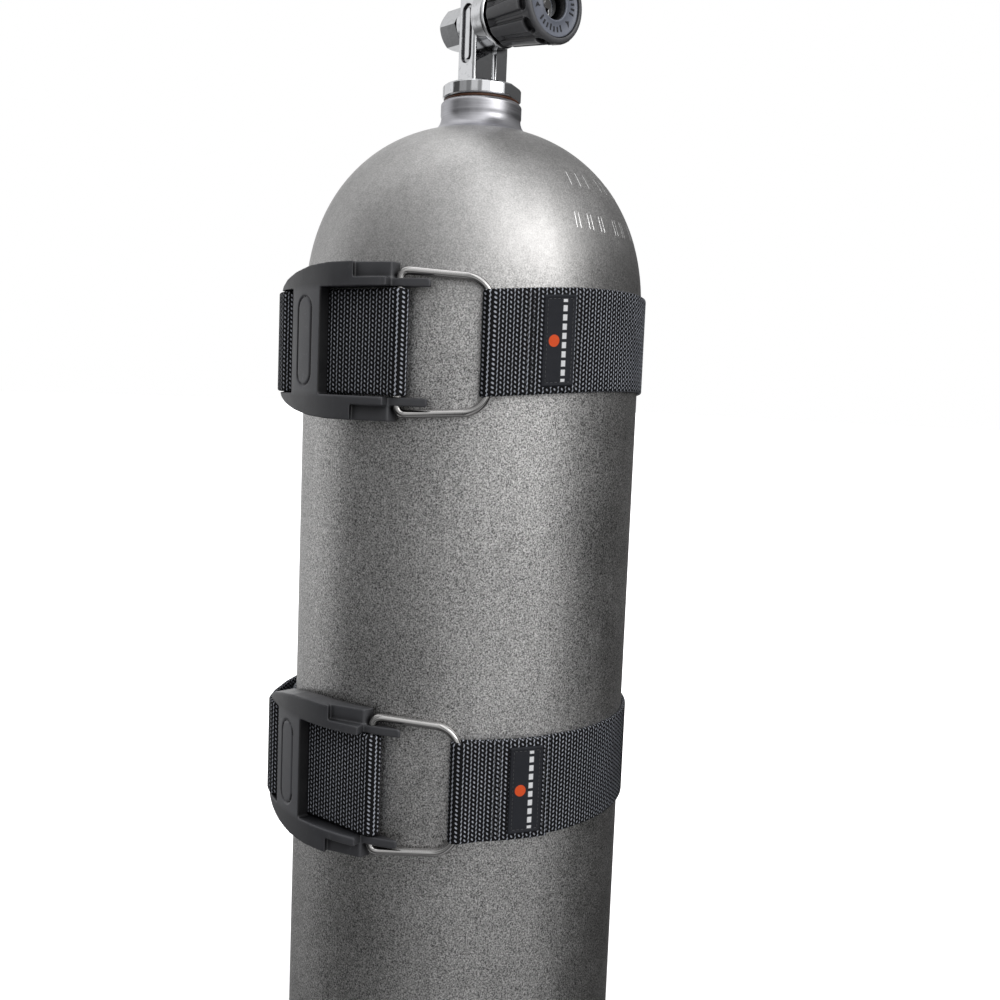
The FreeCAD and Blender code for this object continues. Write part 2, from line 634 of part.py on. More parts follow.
def make_strap_tail():
    """Webbing from the cam bar through the window, under the crossbar and back around the cylinder."""
    t = webbing_thickness
    over_bar = pivot_radius + loop_inner_radius
    under_crossbar = crossbar_inner_radius - 0.25
    fold = half_loop(pivot_radius, pivot_angle, pivot_angle, pivot_angle + 185)
    window_run = slab([polar(over_bar, pivot_angle), polar(over_bar + t, pivot_angle),
                       polar(under_crossbar, crossbar_start_angle + 1),
                       polar(under_crossbar - t, crossbar_start_angle + 1)], -half_band, half_band)
    under = sector(under_crossbar - t, under_crossbar, crossbar_end_angle, crossbar_start_angle + 1,
                   -half_band, half_band)
    bar_top = 105.0
    climb = slab([polar(under_crossbar, crossbar_end_angle), polar(bar_top + t, -70.0),
                  polar(bar_top, -71.0), polar(under_crossbar - t, crossbar_end_angle)],
                 -half_band, half_band)
    over = sector(bar_top, bar_top + t, -76.0, -69.8, -half_band, half_band)
    lay = layer_one_outer + 1.8 + body_gap
    landing = -106.0
    descent = slab([polar(bar_top + t, -76.0), polar(bar_top, -76.0), polar(101.9, -84.0),
                    polar(98.4, -95.0), polar(lay, landing), polar(lay + t, landing),
                    polar(98.4 + t, -95.0), polar(101.9 + t, -84.0)], -half_band, half_band)
    back = sector(lay, lay + t, -150.0, landing, -half_band, half_band)
    return fold.fuse([window_run, under, climb, over, descent, back]).removeSplitter()


def make_hook_patch():
    """Hook strip on the inside of the strap tail's end."""
    low = layer_one_outer + 0.9 + body_gap
    return sector(low, low + 0.9, -147.0, -109.0, -23.0, 23.0)


band_nodes = {
    "band": make_band,
    "label": make_label,
    "loop_patch": make_loop_patch,
    "bail": make_bail,
    "buckle": make_buckle,
    "cam_bar": make_cam_bar,
    "strap_tail": make_strap_tail,
    "hook_patch": make_hook_patch,
}

# ---- export ----
for node_name, maker in valve_nodes.items():
    save(maker(), node_name)

for part_name, maker in band_nodes.items():
    plain = maker()
    for band_name, band_z, leg_azimuth in cam_bands:
        placed = plain.copy()
        placed.rotate(ORIGIN, Z_AXIS, leg_azimuth - 90)
        placed.translate(Vector(0, 0, band_z))
        save(placed, band_name + "_" + part_name)
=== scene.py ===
import math

import bpy
import numpy as np
from mathutils import Matrix, Vector


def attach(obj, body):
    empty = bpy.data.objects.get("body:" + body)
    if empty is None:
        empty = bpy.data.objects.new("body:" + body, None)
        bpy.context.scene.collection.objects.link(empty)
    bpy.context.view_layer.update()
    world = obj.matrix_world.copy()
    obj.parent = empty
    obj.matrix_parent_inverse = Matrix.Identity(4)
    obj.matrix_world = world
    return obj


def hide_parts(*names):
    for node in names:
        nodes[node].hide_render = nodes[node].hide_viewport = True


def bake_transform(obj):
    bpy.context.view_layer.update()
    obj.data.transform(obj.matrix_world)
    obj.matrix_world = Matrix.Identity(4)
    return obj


# Aluminium diving cylinder with its yoke valve and two webbing cam bands.
# Lengths in this file are millimetres; MM turns them into the frame's metres.
MM = 0.001

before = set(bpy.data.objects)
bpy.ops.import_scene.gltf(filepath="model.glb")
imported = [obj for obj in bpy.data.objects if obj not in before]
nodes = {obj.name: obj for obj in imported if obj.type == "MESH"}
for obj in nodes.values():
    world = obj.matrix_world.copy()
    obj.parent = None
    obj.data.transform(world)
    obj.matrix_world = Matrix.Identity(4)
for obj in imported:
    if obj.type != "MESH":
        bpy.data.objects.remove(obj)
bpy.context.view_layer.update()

# ---- dimensions shared with the CAD source ----
cylinder_radius = 92.1
cylinder_length = 663.0
wall_thickness = 12.7
base_thickness = 22.0
base_corner_radius = 14.0
shoulder_start_z = 551.5
shoulder_height = 98.0
inner_shoulder_height = 76.0
shoulder_exponent = 2.19
neck_radius = 22.0
neck_fillet_radius = 9.0
neck_bore_radius = 12.6
inner_floor_corner_radius = 24.0
stem_axis_z = 706.0

half_band = 25.4
half_webbing = 1.2
wire_radius = 2.0
leg_radius = 96.55
pivot_radius = 98.0
pivot_angle = -26.0
wrap_radius = 3.25
inner_layer_radius = 93.3
outer_layer_radius = 95.7
loop_end_angle = 28.0
label_angles = (15.1, 25.6)
label_half_height = 22.0
label_width = 17.8
label_base_radius = 96.9
pad_angle = -57.0

# Name, height of the band's centre, azimuth of its bail leg, how far its webbing climbs beyond the label.
cam_bands = (("upper", 529.0, 53.0, 6.5), ("lower", 311.5, 48.5, 0.0))

random = np.random.default_rng(7)


# ---- node materials ----
class Shader:
    """A material under construction: a principled shader and a few short ways to add nodes."""

    def __init__(self, name):
        self.material = bpy.data.materials.new(name)
        self.material.use_nodes = True
        self.tree = self.material.node_tree
        self.principled = self.tree.nodes["Principled BSDF"]

    def node(self, kind, **settings):
        made = self.tree.nodes.new(kind)
        for key, value in settings.items():
            setattr(made, key, value)
        return made

    def put(self, value, socket):
        """Connects a socket, or sets a number or colour."""
        if isinstance(value, bpy.types.NodeSocket):
            self.tree.links.new(value, socket)
        elif isinstance(value, tuple) and len(value) == 3 and socket.type == "RGBA":
            socket.default_value = (*value, 1)
        else:
            socket.default_value = value

    def set(self, **values):
        """Sets inputs of the principled shader; Base_Color stands for Base Color."""
        for key, value in values.items():
            self.put(value, self.principled.inputs[key.replace("_", " ")])

    def math(self, operation, *values):
        made = self.node("ShaderNodeMath", operation=operation)
        for value, socket in zip(values, made.inputs):
            self.put(value, socket)
        return made.outputs[0]

    def place(self, scale=(1, 1, 1)):
        """Position in the object, stretched by scale."""
        coordinates = self.node("ShaderNodeTexCoord").outputs["Object"]
        mapping = self.node("ShaderNodeMapping")
        self.put(coordinates, mapping.inputs["Vector"])
        mapping.inputs["Scale"].default_value = scale
        return mapping.outputs[0]

    def uv(self):
        """The two surface coordinates as separate numbers."""
        coordinates = self.node("ShaderNodeTexCoord").outputs["UV"]
        split = self.node("ShaderNodeSeparateXYZ")
        self.put(coordinates, split.inputs[0])
        return split.outputs[0], split.outputs[1]

    def noise(self, size, detail=2.0, rough=0.5, stretch=(1, 1, 1)):
        """Noise from 0 to 1 whose blobs are about size millimetres across."""
        made = self.node("ShaderNodeTexNoise")
        self.put(self.place(stretch), made.inputs["Vector"])
        made.inputs["Scale"].default_value = 1 / (size * MM)
        made.inputs["Detail"].default_value = detail
        made.inputs["Roughness"].default_value = rough
        return made.outputs["Fac"]

    def ramp(self, value, low, high, to_low=0.0, to_high=1.0, smooth=True):
        made = self.node("ShaderNodeMapRange", interpolation_type="SMOOTHSTEP" if smooth else "LINEAR")
        for key, number in (("Value", value), ("From Min", low), ("From Max", high),
                            ("To Min", to_low), ("To Max", to_high)):
            self.put(number, made.inputs[key])
        return made.outputs[0]

    def mix(self, factor, first, second):
        """Blend of two colours."""
        made = self.node("ShaderNodeMix", data_type="RGBA")
        self.put(factor, made.inputs[0])
        self.put(first, made.inputs[6])
        self.put(second, made.inputs[7])
        return made.outputs[2]

    def bump(self, height, distance, strength=1.0, normal=None):
        made = self.node("ShaderNodeBump")
        made.inputs["Strength"].default_value = strength
        made.inputs["Distance"].default_value = distance * MM
        self.put(height, made.inputs["Height"])
        if normal is not None:
            self.put(normal, made.inputs["Normal"])
        return made.outputs[0]

    def painted_occlusion(self, reach):
        """Mask for painted shade: 1 on open surfaces, falling to 0 in corners and gaps about reach
        millimetres deep.
        """
        made = self.node("ShaderNodeAmbientOcclusion")
        made.samples = 8
        made.inputs["Distance"].default_value = reach * MM
        return self.ramp(made.outputs["AO"], 0.4, 0.95)

    def rounded(self, radius):
        """Normal that rounds off hard edges."""
        made = self.node("ShaderNodeBevel")
        made.samples = 6
        made.inputs["Radius"].default_value = radius * MM
        return made.outputs[0]


def aluminium():
    """Bead-blasted metal with a calmer grain on the shoulder, which turns into a finely machined neck."""
    s = Shader("blasted_aluminium")
    split = s.node("ShaderNodeSeparateXYZ")
    s.put(s.place(), split.inputs[0])
    metres_up = split.outputs[2]
    neck_starts, neck_full = 0.6435, 0.6465
    shoulder_starts, shoulder_full = 0.53, 0.585
    machined = s.ramp(metres_up, neck_starts, neck_full)
    blasted = s.math("SUBTRACT", 1.0, machined)
    calm = s.ramp(metres_up, shoulder_starts, shoulder_full, 1.0, 0.30)
    grain = s.noise(0.75, 2, 0.6)
    clumps = s.noise(3.5, 3, 0.6)
    streaks = s.noise(14, 4, 0.6, (1, 1, 0.16))
    stains = s.noise(60, 4, 0.6)
    speckle = s.math("MULTIPLY", s.ramp(grain, 0.33, 0.67, -0.36, 0.36, False), calm)
    tone = s.math("ADD", speckle, 0.50)
    tone = s.math("ADD", tone, s.ramp(clumps, 0.3, 0.7, -0.035, 0.035, False))
    tone = s.math("ADD", tone, s.ramp(streaks, 0.35, 0.65, -0.03, 0.02, False))
    tone = s.math("ADD", tone, s.ramp(stains, 0.35, 0.65, -0.025, 0.02, False))
    shade = s.mix(tone, (0.0, 0.0, 0.0), (1.0, 0.99, 0.985))
    rings = s.noise(0.5, 2, 0.5, (0.02, 0.02, 1))
    neck_tone = s.mix(s.ramp(rings, 0.3, 0.7), (0.50, 0.50, 0.53), (0.61, 0.61, 0.645))
    rough = s.math("ADD", s.ramp(grain, 0.3, 0.7, 0.40, 0.52, False), s.ramp(stains, 0.3, 0.7, -0.03, 0.04))
    rough = s.math("ADD", s.math("MULTIPLY", rough, blasted),
                   s.math("MULTIPLY", s.ramp(rings, 0.3, 0.7, 0.34, 0.44), machined))
    height = s.math("MULTIPLY", grain, blasted)
    height = s.math("ADD", height, s.math("MULTIPLY", rings, s.math("MULTIPLY", machined, 0.25)))
    s.set(Base_Color=s.mix(machined, shade, neck_tone), Metallic=1.0, Roughness=rough,
          Normal=s.bump(height, 0.10, 0.6))
    return s.material


def chrome():
    """Bright plating with faint polishing waves, dulled patches, painted shade in the crevices and rounded
    edges.
    """
    s = Shader("chrome_plate")
    tint = (0.80, 0.81, 0.83)
    waves = s.noise(5.0, 2, 0.5)
    haze = s.noise(2.2, 4, 0.6)
    scratches = s.noise(0.8, 3, 0.6, (1, 1, 0.08))
    dull = s.ramp(haze, 0.52, 0.75)
    rough = s.math("ADD", s.ramp(haze, 0.45, 0.8, 0.05, 0.17), s.ramp(scratches, 0.55, 0.75, 0.0, 0.06))
    darker = tuple(0.86 * c for c in tint)
    height = s.math("ADD", waves, s.math("MULTIPLY", scratches, 0.03))
    plated = s.mix(dull, tint, darker)
    # Crevices and slot floors are painted dark through the occlusion mask: painted shade.
    s.set(Base_Color=s.mix(s.painted_occlusion(3.0), (0.05, 0.05, 0.052), plated), Metallic=1.0, Roughness=rough,
          Normal=s.bump(height, 0.06, 0.5, s.rounded(0.45)))
    return s.material


def plain_metal(name, low, high, rough, size, stretch=(1, 1, 1)):
    """Metal with drawn or turned marks."""
    s = Shader(name)
    marks = s.noise(size, 3, 0.6, stretch)
    patches = s.noise(9, 3, 0.6)
    s.set(Base_Color=s.mix(s.math("MULTIPLY", s.math("ADD", marks, patches), 0.5), low, high), Metallic=1.0,
          Roughness=s.ramp(marks, 0.3, 0.7, rough[0], rough[1]), Normal=s.bump(marks, 0.03, 0.5))
    return s.material


def moulded(name, low, high, rough, grain=0.45, depth=0.05, edge=0.3, reach=9.0, shaded=False):
    """Moulded plastic or rubber: fine eroded texture, cloudy tone, lighter rubbed spots, painted shade in
    inner corners.

    With shaded, the mesh's own shade values scale the colour; these values are painted light and shade.
    """
    s = Shader(name)
    fine = s.noise(grain, 2, 0.6)
    cloud = s.noise(12, 4, 0.6)
    rubbed = s.math("MULTIPLY", s.ramp(s.noise(5, 5, 0.7), 0.56, 0.72),
                    s.ramp(s.noise(1.1, 3, 0.7), 0.4, 0.7))
    base = s.mix(cloud, low, high)
    worn = tuple(min(1.0, 1.7 * c + 0.01) for c in high)
    surface = s.mix(s.math("MULTIPLY", rubbed, 0.6), base, worn)
    # The mesh's shade values scale the colour: painted light and shade.
    if shaded:
        shade = s.node("ShaderNodeAttribute", attribute_name="shade").outputs["Fac"]
        scaled = s.node("ShaderNodeVectorMath", operation="SCALE")
        s.put(surface, scaled.inputs[0])
        s.put(shade, scaled.inputs["Scale"])
        surface = scaled.outputs[0]
    roughness = s.math("ADD", s.ramp(cloud, 0.3, 0.7, rough[0], rough[1]),
                       s.ramp(fine, 0.3, 0.7, -0.04, 0.04))
    # Inner corners and gaps are painted near black through the occlusion mask: painted shade.
    s.set(Base_Color=s.mix(s.painted_occlusion(reach), (0.006, 0.006, 0.007), surface), Roughness=roughness,
          Normal=s.bump(fine, depth, 0.7, s.rounded(edge)))
    return s.material


def weave(name, gap, yarn_highlight):
    """Heavy narrow webbing: columns of leaning oval stitches alternate with thin beaded chains.

    The first surface coordinate counts columns along the strap, the second counts stitches across it.
    """
    s = Shader(name)
    along, across = s.uv()
    odd = s.math("MODULO", s.math("ABSOLUTE", s.math("FLOOR", along)), 2.0)
    even = s.math("SUBTRACT", 1.0, odd)
    x = s.math("SUBTRACT", s.math("FRACT", along), 0.5)
    y = s.math("SUBTRACT", s.math("FRACT", s.math("ADD", across, 100.0)), 0.5)

    def square(value):
        return s.math("MULTIPLY", value, value)

    leaning = s.math("DIVIDE", s.math("SUBTRACT", x, s.math("MULTIPLY", y, 0.45)), 0.30)
    oval = s.math("SUBTRACT", 1.0, s.math("ADD", square(leaning), square(s.math("DIVIDE", y, 0.38))))
    turn = s.math("MULTIPLY", y, 2 * math.pi)
    beads = s.math("SUBTRACT", 0.15, s.math("MULTIPLY", s.math("COSINE", turn), 0.10))
    wavy = s.math("SUBTRACT", x, s.math("MULTIPLY", s.math("SINE", turn), 0.06))
    chain = s.math("SUBTRACT", 1.0, square(s.math("DIVIDE", wavy, beads)))
    dome = s.math("ADD", s.math("MULTIPLY", oval, even), s.math("MULTIPLY", chain, odd))
    dome = s.math("SQRT", s.math("MAXIMUM", dome, 0.0))
    fibres = s.math("SINE", s.math("MULTIPLY", s.math("ADD", x, s.math("MULTIPLY", y, 0.12)), 44.0))
    fuzz = s.noise(0.5, 3, 0.7)
    faded = s.noise(24, 4, 0.6)
    height = s.math("ADD", dome, s.math("MULTIPLY", s.math("MULTIPLY", fibres, dome), 0.06))
    height = s.math("ADD", height, s.math("MULTIPLY", fuzz, 0.12))
    # Painted highlight: the stitch tops get a light colour that stands for the shine of black yarn; the
    # near-black gaps between them are partly painted shade.
    painted_highlight = s.math("MULTIPLY", s.ramp(dome, 0.35, 1.0), s.ramp(faded, 0.3, 0.7, 0.8, 1.0))
    painted_highlight = s.math("MULTIPLY", painted_highlight, s.ramp(fuzz, 0.3, 0.7, 0.7, 1.1, False))
    s.set(Base_Color=s.mix(painted_highlight, gap, yarn_highlight), Roughness=s.ramp(dome, 0.2, 1.0, 0.8, 0.34),
          Specular_IOR_Level=0.25, Normal=s.bump(height, 0.5, 0.9))
    return s.material


def label_cloth():
    """Charcoal woven patch: fine twill, hem with a line of stitches, plain white bars and one round red spot.

    Both surface coordinates run from 0 to 1 over the patch.
    """
    s = Shader("label_cloth")
    x, y = s.uv()
    twill = s.math("SINE", s.math("ADD", s.math("MULTIPLY", x, 190.0), s.math("MULTIPLY", y, 460.0)))
    weft = s.math("SINE", s.math("MULTIPLY", y, 520.0))
    threads = s.math("ADD", s.math("MULTIPLY", twill, 0.5), s.math("MULTIPLY", weft, 0.5))
    cloud = s.noise(6, 3, 0.6)
    base = s.mix(s.ramp(threads, -1.0, 1.0), (0.006, 0.007, 0.010), (0.026, 0.028, 0.036))
    base = s.mix(s.math("MULTIPLY", cloud, 0.3), base, (0.035, 0.037, 0.045))

    def inside(value, centre, half, soft):
        return s.ramp(s.math("ABSOLUTE", s.math("SUBTRACT", value, centre)), half + soft, half - soft)

    bars = s.math("MULTIPLY", inside(x, 0.64, 0.065, 0.012), inside(y, 0.5, 0.45, 0.004))
    breaks = s.math("FRACT", s.math("MULTIPLY", y, 10.0))
    bars = s.math("MULTIPLY", bars, inside(breaks, 0.5, 0.33, 0.03))
    white = s.mix(s.ramp(threads, -1.0, 0.6), (0.62, 0.63, 0.66), (0.97, 0.98, 1.0))
    base = s.mix(bars, base, white)
    dx = s.math("MULTIPLY", s.math("SUBTRACT", x, 0.33), label_width)
    dy = s.math("MULTIPLY", s.math("SUBTRACT", y, 0.5), 43.0)
    away = s.math("SQRT", s.math("ADD", s.math("MULTIPLY", dx, dx), s.math("MULTIPLY", dy, dy)))
    spot = s.ramp(away, 3.0, 2.7)
    red = s.mix(s.ramp(threads, -1.0, 1.0), (0.62, 0.055, 0.012), (1.0, 0.14, 0.03))
    base = s.mix(spot, base, red)
    marks = s.math("ADD", bars, spot)
    s.set(Base_Color=base, Roughness=s.ramp(threads, -1.0, 1.0, 0.8, 0.6), Specular_IOR_Level=0.3,
          Normal=s.bump(s.math("ADD", threads, s.math("MULTIPLY", marks, 1.5)), 0.06, 0.8))
    return s.material


def pile(name, low, high):
    """Short tangled loops or hooks."""
    s = Shader(name)
    tufts = s.noise(0.7, 4, 0.7)
    rows = s.noise(1.6, 1, 0.5)
    s.set(Base_Color=s.mix(s.ramp(tufts, 0.3, 0.7), low, high), Roughness=s.ramp(tufts, 0.3, 0.7, 0.95, 0.75),
          Normal=s.bump(s.math("ADD", tufts, rows), 0.6, 1.0))
    return s.material


def ring_rubber(name, low, high):
    """O-ring rubber with a soft shine and dusty patches."""
    s = Shader(name)
    dust = s.noise(1.5, 4, 0.7)
    s.set(Base_Color=s.mix(s.ramp(dust, 0.35, 0.7), low, high), Roughness=s.ramp(dust, 0.3, 0.7, 0.35, 0.6),
          Normal=s.bump(dust, 0.04, 0.5))
    return s.material


materials = {
    "aluminium": aluminium(),
    "chrome": chrome(),
    "brass": plain_metal("valve_brass", (0.60, 0.42, 0.20), (0.72, 0.53, 0.28), (0.25, 0.4), 0.7,
                         (1, 1, 0.1)),
    "steel": plain_metal("stainless_wire", (0.42, 0.415, 0.41), (0.60, 0.59, 0.585), (0.05, 0.11), 0.6,
                         (1, 1, 0.12)),
    "stamp": plain_metal("bright_stamp", (0.90, 0.90, 0.90), (0.98, 0.98, 0.98), (0.3, 0.45), 0.8),
    # The seal's amber is darkened as painted shade for where it sits under the valve's flange.
    "seal": ring_rubber("amber_seal", (0.07, 0.026, 0.012), (0.13, 0.048, 0.020)),
    "ptfe": ring_rubber("ptfe", (0.78, 0.78, 0.76), (0.86, 0.86, 0.84)),
    # Buckle colour is scaled by painted light and shade from its mesh, and its corners get painted shade.
    "buckle": moulded("buckle_nylon", (0.060, 0.061, 0.068), (0.092, 0.094, 0.103), (0.34, 0.44),
                      reach=16.0, shaded=True),
    "rubber": moulded("knob_rubber", (0.085, 0.086, 0.092), (0.125, 0.127, 0.136), (0.34, 0.46), 0.5, 0.04),
    "hub": moulded("knob_hub", (0.014, 0.014, 0.016), (0.024, 0.024, 0.027), (0.3, 0.42), 0.6, 0.03),
    "face": moulded("knob_face", (0.15, 0.165, 0.205), (0.20, 0.215, 0.26), (0.34, 0.46), 0.6, 0.03),
    "tick": moulded("knob_ticks", (0.02, 0.021, 0.025), (0.035, 0.037, 0.042), (0.4, 0.5), 0.6, 0.03),
    # Black webbing whose light second colour is a painted highlight on the stitch tops.
    "webbing": weave("strap_webbing", (0.002, 0.002, 0.003), (0.58, 0.61, 0.69)),
    "thread": moulded("sewing_thread", (0.05, 0.05, 0.055), (0.12, 0.122, 0.13), (0.5, 0.65), 0.25, 0.1,
                      0.05),
    "label": label_cloth(),
    "loop": pile("loop_pile", (0.006, 0.006, 0.007), (0.04, 0.041, 0.045)),
}


# ---- mesh helpers ----
def make_piece(name, points, faces, material, body=None, uv=None, smooth=True):
    """A mesh object from millimetre points; uv holds one pair per point."""
    mesh = bpy.data.meshes.new(name)
    mesh.from_pydata([tuple(p) for p in np.asarray(points, float) * MM], [], [tuple(f) for f in faces])
    mesh.polygons.foreach_set("use_smooth", [smooth] * len(mesh.polygons))
    if uv is not None:
        corners = np.zeros(len(mesh.loops), np.int32)
        mesh.loops.foreach_get("vertex_index", corners)
        layer = mesh.uv_layers.new(name="surface")
        layer.data.foreach_set("uv", np.asarray(uv, np.float32)[corners].ravel())
    mesh.materials.append(materials[material])
    made = bpy.data.objects.new(name, mesh)
    bpy.context.scene.collection.objects.link(made)
    if body:
        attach(made, body)
    return made


def grid_faces(rows, columns, wrap_rows=False, wrap_columns=False, start=0):
    """Quads over a grid of points numbered row by row."""
    faces = []
    for i in range(rows if wrap_rows else rows - 1):
        for j in range(columns if wrap_columns else columns - 1):
            a = start + i * columns + j
            b = start + i * columns + (j + 1) % columns
            below = (i + 1) % rows
            c = start + below * columns + (j + 1) % columns
            d = start + below * columns + j
            faces.append((a, b, c, d))
    return faces


def revolved(profile, segments):
    """Points and faces of a closed outline of (radius, height) turned about Z."""
    angles = np.arange(segments) * 2 * np.pi / segments
    radius = np.array([p[0] for p in profile])[:, None]
    height = np.array([p[1] for p in profile])[:, None]
    points = np.stack([radius * np.cos(angles), radius * np.sin(angles), height + 0 * angles], -1)
    return points.reshape(-1, 3), grid_faces(len(profile), segments, False, True)


def polar(radius, angle):
    """Point in the band's plane; the bail leg is at angle 0, in degrees."""
    a = np.radians(angle)
    return np.array([radius * np.cos(a), radius * np.sin(a)])


def risen(points, rise):
    """Lets webbing climb a little away from the bail leg and come back down behind the cylinder."""
    points = np.array(points, float)
    angle = np.degrees(np.arctan2(points[:, 1], points[:, 0]))
    points[:, 2] += rise * np.sin(np.pi * np.clip((angle + 8) / 128, 0, 1))
    return points


def place_on_band(points, leg_azimuth, band_z):
    """Turns and lifts points drawn with the bail leg on +X and the band's centre at height 0."""
    a = math.radians(leg_azimuth - 90)
    turn = np.array([[math.cos(a), -math.sin(a), 0], [math.sin(a), math.cos(a), 0], [0, 0, 1]])
    return np.asarray(points, float) @ turn.T + np.array([0, 0, band_z])


def resample(path, step):
    """The same path with points every step."""
    path = np.asarray(path, float)
    lengths = np.concatenate([[0], np.cumsum(np.linalg.norm(np.diff(path, axis=0), axis=1))])
    count = max(2, int(round(lengths[-1] / step)) + 1)
    wanted = np.linspace(0, lengths[-1], count)
    return np.stack([np.interp(wanted, lengths, path[:, k]) for k in range(path.shape[1])], -1)


def relaxed(path, passes):
    """Softens the corners of a path and keeps its ends."""
    path = path.copy()
    for _ in range(passes):
        path[1:-1] = 0.25 * path[:-2] + 0.5 * path[1:-1] + 0.25 * path[2:]
    return path


def arc_points(centre, radius, start, end, step=6.0):
    """Points of an arc between two angles in degrees, about every step degrees."""
    count = max(3, int(abs(end - start) / step) + 2)
    return [np.asarray(centre) + polar(radius, a) for a in np.linspace(start, end, count)]


# ---- cylinder ----
def shoulder(radius, height, last_radius, steps):
    """Superelliptic dome as (radius, height) pairs, from the wall up to last_radius."""
    last = math.acos((last_radius / radius) ** (shoulder_exponent / 2))
    curve = []
    for i in range(steps + 1):
        a = last * i / steps
        curve.append((radius * math.cos(a) ** (2 / shoulder_exponent),
                      shoulder_start_z + height * math.sin(a) ** (2 / shoulder_exponent)))
    return curve


def outer_profile():
    """Outline of the cylinder's outside from the middle of its base to the bore at the top."""
    corner = base_corner_radius
    flat = cylinder_radius - corner
    profile = [(0.01, 0.0), (flat * 0.5, 0.0), (flat - 0.5, 0.0)]
    profile += [(flat + corner * math.sin(a), corner - corner * math.cos(a))
                for a in np.linspace(0, math.pi / 2, 14)]
    profile += [(cylinder_radius, z) for z in np.linspace(corner + 1, shoulder_start_z - 1, 40)]
    curve = np.array(shoulder(cylinder_radius, shoulder_height, neck_radius, 120))
    slope = np.gradient(curve, axis=0)
    slope /= np.linalg.norm(slope, axis=1)[:, None]
    offset = curve + neck_fillet_radius * np.stack([slope[:, 1], -slope[:, 0]], -1)
    foot = int(np.argmax(offset[:, 0] <= neck_radius + neck_fillet_radius))
    centre = offset[foot]
    profile += [tuple(p) for p in curve[:foot:2]]
    start = math.atan2(curve[foot, 1] - centre[1], curve[foot, 0] - centre[0])
    profile += [(centre[0] + neck_fillet_radius * math.cos(a), centre[1] + neck_fillet_radius * math.sin(a))
                for a in np.linspace(start, -math.pi, 16)]
    top = cylinder_length
    profile += [(neck_radius, z) for z in np.linspace(centre[1] + 1, top - 1.6, 6)]
    profile += [(neck_radius - 0.12, top - 1.25), (neck_radius - 1.0, top - 0.2), (neck_radius - 1.3, top)]
    profile += [(neck_radius - 4, top), (neck_bore_radius + 0.4, top), (neck_bore_radius, top - 0.5)]
    return profile


def inner_profile():
    """Outline of the hollow from the bore down to the middle of the inner floor."""
    radius = cylinder_radius - wall_thickness
    corner = inner_floor_corner_radius
    curve = shoulder(radius, inner_shoulder_height, neck_bore_radius, 40)
    profile = list(reversed(curve))
    profile += [(radius, base_thickness + corner + 1)]
    profile += [(radius - corner + corner * math.cos(a), base_thickness + corner - corner * math.sin(a))
                for a in np.linspace(0.1, math.pi / 2, 10)]
    profile += [(radius * 0.3, base_thickness), (0.01, base_thickness)]
    return profile


def make_cylinder():
    points, faces = revolved(outer_profile() + inner_profile(), 224)
    tank = make_piece("tank_shell", points, faces, "aluminium", "root")
    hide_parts("cylinder")


def surface_radius(z):
    """Radius of the shoulder's outside at a height."""
    share = min(0.999, max(0.0, (z - shoulder_start_z) / shoulder_height))
    a = math.asin(share ** (shoulder_exponent / 2))
    return cylinder_radius * math.cos(a) ** (2 / shoulder_exponent)


def make_stamps():
    """Plain engraved strokes on the shoulder: a single row above a row of pairs."""
    points, faces = [], []

    def stroke(azimuth, low, high, width, lean=0.0):
        start = len(points)
        rows = 7
        for i in range(rows):
            share = i / (rows - 1)
            z = low + (high - low) * share
            r = surface_radius(z)
            rise = surface_radius(z + 0.5) - surface_radius(z - 0.5)
            normal = np.array([1.0, -rise])
            normal /= np.linalg.norm(normal)
            half = width / 2 * (1 if 0 < i < rows - 1 else 0.45)
            centre = azimuth + lean * (share - 0.5)
            for side, lift in ((-1, -0.05), (-0.5, 0.07), (0.5, 0.07), (1, -0.05)):
                a = math.radians(centre) + side * half / r
                reach = r + lift * normal[0]
                points.append((reach * math.sin(a), -reach * math.cos(a), z + lift * normal[1]))
        faces.extend(grid_faces(rows, 4, start=start))

    groups = (3, 2, 4, 3, 3, 2)
    upper_row, lower_row = (611.8, 619.0), (589.4, 597.4)
    azimuth = 86.0
    for count in groups:
        for _ in range(count):
            stroke(azimuth, *upper_row, 0.8, random.uniform(-0.6, 0.6))
            azimuth += 5.0
        azimuth += 4.0
    azimuth = 82.8
    for count in groups:
        for _ in range(count):
            stroke(azimuth, *lower_row, 0.75)
            stroke(azimuth + 1.7, *lower_row, 0.75)
            azimuth += 5.8
        azimuth += 3.0
    make_piece("shoulder_stamps", points, faces, "stamp", "root")


# ---- handwheel ----
def turned_piece(name, profile, angles, material):
    """Handwheel piece with a closed outline of (x, radius) rows about the stem axis."""
    points = [np.stack([0 * angles + x, r * np.cos(angles), stem_axis_z + r * np.sin(angles)], -1)
              for x, r in profile]
    faces = grid_faces(len(profile), len(angles), True, True)
    return make_piece(name, np.concatenate(points), faces, material, "handwheel")


